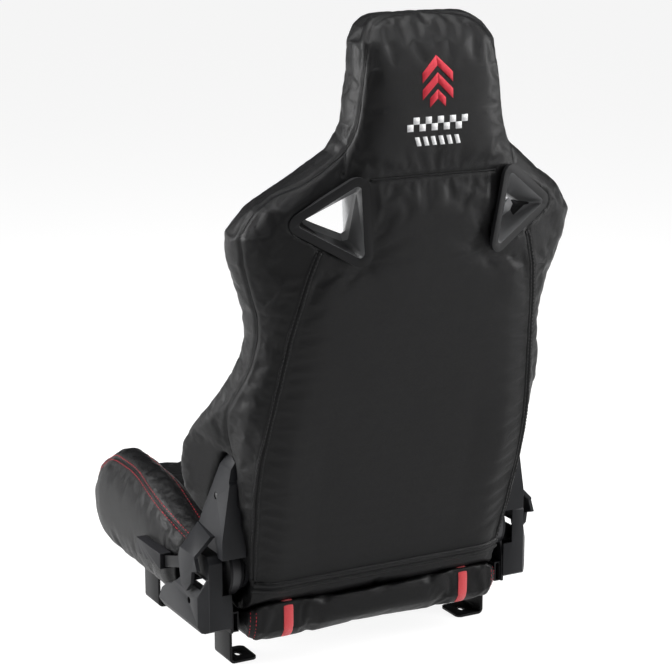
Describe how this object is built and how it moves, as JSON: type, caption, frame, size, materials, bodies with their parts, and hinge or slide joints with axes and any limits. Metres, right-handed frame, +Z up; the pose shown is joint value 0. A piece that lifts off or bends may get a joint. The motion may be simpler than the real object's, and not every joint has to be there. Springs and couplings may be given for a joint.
{
  "type": "racing seat",
  "caption": "Reclining bucket racing seat with wings, integral headrest, harness openings, a rear cushion roll, side recliners with a lift lever, and slotted floor brackets.",
  "frame": {"origin": "on the floor plane, midway between the four slotted foot tabs", "axes": "+X towards the seat's left as a sitter sees it, +Y towards the rear, +Z up"},
  "size_m": [0.56, 0.6738, 0.9347],
  "materials": {
    "black_leather": "satin",
    "foam": "matte",
    "red_elastic": "woven",
    "harness_trim": "matte",
    "cover_plastic": "fine texture",
    "grip_plastic": "fine texture",
    "black_powder_coat": "powder coat",
    "frame_steel": "satin",
    "black_screws": "satin",
    "bright_steel": "zinc plated"
  },
  "bodies": {
    "seat_base": {"left_side_rail": "frame_steel", "right_side_rail": "frame_steel", "front_crossbar": "frame_steel", "rear_crossbar": "frame_steel", "seat_springs": "bright_steel", "front_left_bracket": "black_powder_coat", "front_right_bracket": "black_powder_coat", "rear_left_bracket": "black_powder_coat", "rear_right_bracket": "black_powder_coat", "cushion_foam": "foam", "cushion_cover": "black_leather", "cushion_strap_left": "red_elastic", "cushion_strap_right": "red_elastic", "left_lower_plate": "frame_steel", "right_lower_plate": "frame_steel", "left_guide_disc": "bright_steel", "right_guide_disc": "bright_steel", "left_lower_cover": "cover_plastic", "right_lower_cover": "cover_plastic", "lower_cover_screws": "black_screws", "spring_pins": "bright_steel"},
    "recline_lever": {"cam_shaft": "bright_steel", "left_cam": "bright_steel", "right_cam": "bright_steel", "shaft_clip": "bright_steel", "lever_arm": "black_powder_coat", "lever_grip": "grip_plastic", "lever_screw": "bright_steel", "lever_return_spring": "bright_steel"},
    "left_upper_pawl_body": {"left_upper_pawl": "bright_steel"},
    "left_lower_pawl_body": {"left_lower_pawl": "bright_steel"},
    "right_upper_pawl_body": {"right_upper_pawl": "bright_steel"},
    "right_lower_pawl_body": {"right_lower_pawl": "bright_steel"},
    "backrest": {"left_ring_disc": "bright_steel", "right_ring_disc": "bright_steel", "left_arm_plate": "frame_steel", "right_arm_plate": "frame_steel", "lower_back_tube": "frame_steel", "left_upright": "frame_steel", "right_upright": "frame_steel", "middle_bar": "frame_steel", "shoulder_bar": "frame_steel", "headrest_hoop": "frame_steel", "back_springs": "bright_steel", "back_foam": "foam", "back_cover": "black_leather", "left_rear_bezel": "harness_trim", "right_rear_bezel": "harness_trim", "left_front_bezel": "harness_trim", "right_front_bezel": "harness_trim", "left_upper_cover": "cover_plastic", "right_upper_cover": "cover_plastic", "upper_cover_screws": "black_screws", "left_clock_spring": "bright_steel", "right_clock_spring": "bright_steel"}
  },
  "joints": [
    {"name": "backrest_recline", "type": "hinge", "parent": "seat_base", "child": "backrest", "pos_m": [0, 0.15, 0.15], "axis": [-1, 0, 0], "range_deg": [-15, 45], "deforming": ["left_clock_spring", "right_clock_spring"]},
    {"name": "lever_lift", "type": "hinge", "parent": "seat_base", "child": "recline_lever", "pos_m": [0, 0.15, 0.15], "axis": [-1, 0, 0], "range_deg": [0, 20], "stiffness_Nm_per_rad": 1, "springref_deg": -20.05, "deforming": ["lever_return_spring"]},
    {"name": "left_upper_pawl_slide", "type": "slide", "parent": "seat_base", "child": "left_upper_pawl_body", "axis": [0, 0, -1], "range_m": [0, 0.003]},
    {"name": "left_lower_pawl_slide", "type": "slide", "parent": "seat_base", "child": "left_lower_pawl_body", "axis": [0, 0, 1], "range_m": [0, 0.003]},
    {"name": "right_upper_pawl_slide", "type": "slide", "parent": "seat_base", "child": "right_upper_pawl_body", "axis": [0, 0, -1], "range_m": [0, 0.003]},
    {"name": "right_lower_pawl_slide", "type": "slide", "parent": "seat_base", "child": "right_lower_pawl_body", "axis": [0, 0, 1], "range_m": [0, 0.003]}
  ],
  "couplings": [
    {"joint": "left_upper_pawl_slide", "follows": "lever_lift", "m_per_rad": 0.0085},
    {"joint": "left_lower_pawl_slide", "follows": "lever_lift", "m_per_rad": 0.0085},
    {"joint": "right_upper_pawl_slide", "follows": "lever_lift", "m_per_rad": 0.0085},
    {"joint": "right_lower_pawl_slide", "follows": "lever_lift", "m_per_rad": 0.0085}
  ]
}
